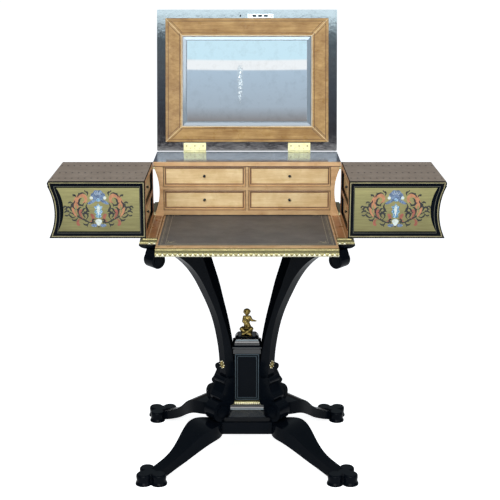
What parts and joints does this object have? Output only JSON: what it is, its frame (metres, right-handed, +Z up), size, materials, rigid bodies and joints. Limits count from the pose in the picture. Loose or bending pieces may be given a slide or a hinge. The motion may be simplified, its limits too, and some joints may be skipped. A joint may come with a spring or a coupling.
{
  "type": "writing desk",
  "caption": "Ebonised casket writing desk on scroll legs and splayed feet: leaning mirror lid, rear drawer nest, swing-out drawer boxes and a leather-lined pull-out slide.",
  "frame": {"origin": "on the floor, under the middle of the open desk's overall box", "axes": "+X to the right of a person who sits at the desk, +Y away from them, +Z up"},
  "size_m": [1.126, 0.726, 1.351],
  "materials": {
    "ebonised": "black stained and polished, semi gloss",
    "gilt": "gilded, satin",
    "figure": "gilded bronze, worn",
    "maple": "bird's-eye maple, polished",
    "pale_wood": "pale polished edging",
    "orange_wood": "satinwood, polished",
    "leather": "grey brown, tooled",
    "brass": "polished",
    "panel": "aged sheet brass with an inlaid ornament",
    "knob": "black, turned",
    "mirror": "old silvered glass",
    "box_top": "grey brown with rows of small dots"
  },
  "bodies": {
    "stand": {"base_block": "ebonised", "plinth_moulding": "ebonised", "plinth_shaft": "ebonised", "plinth_cap": "ebonised", "frame_rails": "ebonised", "frame_bottom_board": "ebonised", "nest_case": "ebonised", "nest_top": "ebonised", "foot_front_left": "ebonised", "leg_front_left": "ebonised", "console_front_left": "ebonised", "foot_front_right": "ebonised", "leg_front_right": "ebonised", "console_front_right": "ebonised", "foot_back_left": "ebonised", "leg_back_left": "ebonised", "console_back_left": "ebonised", "foot_back_right": "ebonised", "leg_back_right": "ebonised", "console_back_right": "ebonised", "plinth_bead": "gilt", "leg_rosettes": "gilt", "frame_gilt_moulding": "gilt", "finial_figure": "figure", "frame_side_strips": "orange_wood", "nest_shelves": "maple", "nest_hinge_brass": "brass"},
    "lid": {"lid_board": "ebonised", "lid_rim": "ebonised", "lid_splayed_frame": "orange_wood", "lid_mirror": "mirror", "lid_brass_fittings": "brass"},
    "slide": {"writing_slide": "pale_wood", "slide_leather": "leather", "slide_lipping": "pale_wood", "slide_gilt_moulding": "gilt"},
    "left_box": {"left_box_case": "ebonised", "left_box_top": "box_top", "left_brass_panel": "panel", "left_box_plates": "brass"},
    "right_box": {"right_box_case": "ebonised", "right_box_top": "box_top", "right_brass_panel": "panel", "right_box_plates": "brass"},
    "nest_drawer_lower_left": {"nest_drawer_lower_left": "maple", "nest_knob_lower_left": "knob"},
    "left_box_drawer_lower": {"left_box_drawer_lower": "maple", "left_box_knob_lower": "knob"},
    "nest_drawer_upper_left": {"nest_drawer_upper_left": "maple", "nest_knob_upper_left": "knob"},
    "left_box_drawer_upper": {"left_box_drawer_upper": "maple", "left_box_knob_upper": "knob"},
    "nest_drawer_lower_right": {"nest_drawer_lower_right": "maple", "nest_knob_lower_right": "knob"},
    "right_box_drawer_lower": {"right_box_drawer_lower": "maple", "right_box_knob_lower": "knob"},
    "nest_drawer_upper_right": {"nest_drawer_upper_right": "maple", "nest_knob_upper_right": "knob"},
    "right_box_drawer_upper": {"right_box_drawer_upper": "maple", "right_box_knob_upper": "knob"}
  },
  "joints": [
    {"name": "lid_hinge", "type": "hinge", "parent": "stand", "child": "lid", "pos_m": [0, 0.21077, 0.9143], "axis": [-1, 0, 0], "range_deg": [-103.8, 0]},
    {"name": "slide_run", "type": "slide", "parent": "stand", "child": "slide", "axis": [0, -1, 0], "range_m": [-0.102, 0]},
    {"name": "left_box_pivot", "type": "hinge", "parent": "stand", "child": "left_box", "pos_m": [-0.286, 0.03797, 0.83], "axis": [0, 0, -1], "range_deg": [-90, 75]},
    {"name": "right_box_pivot", "type": "hinge", "parent": "stand", "child": "right_box", "pos_m": [0.286, 0.03797, 0.83], "axis": [0, 0, 1], "range_deg": [-90, 75]},
    {"name": "nest_drawer_lower_left_run", "type": "slide", "parent": "stand", "child": "nest_drawer_lower_left", "axis": [0, -1, 0], "range_m": [0, 0.11]},
    {"name": "left_box_drawer_lower_run", "type": "slide", "parent": "left_box", "child": "left_box_drawer_lower", "axis": [1, 0, 0], "range_m": [0, 0.2]},
    {"name": "nest_drawer_upper_left_run", "type": "slide", "parent": "stand", "child": "nest_drawer_upper_left", "axis": [0, -1, 0], "range_m": [0, 0.11]},
    {"name": "left_box_drawer_upper_run", "type": "slide", "parent": "left_box", "child": "left_box_drawer_upper", "axis": [1, 0, 0], "range_m": [0, 0.2]},
    {"name": "nest_drawer_lower_right_run", "type": "slide", "parent": "stand", "child": "nest_drawer_lower_right", "axis": [0, -1, 0], "range_m": [0, 0.11]},
    {"name": "right_box_drawer_lower_run", "type": "slide", "parent": "right_box", "child": "right_box_drawer_lower", "axis": [-1, 0, 0], "range_m": [0, 0.2]},
    {"name": "nest_drawer_upper_right_run", "type": "slide", "parent": "stand", "child": "nest_drawer_upper_right", "axis": [0, -1, 0], "range_m": [0, 0.11]},
    {"name": "right_box_drawer_upper_run", "type": "slide", "parent": "right_box", "child": "right_box_drawer_upper", "axis": [-1, 0, 0], "range_m": [0, 0.2]}
  ]
}
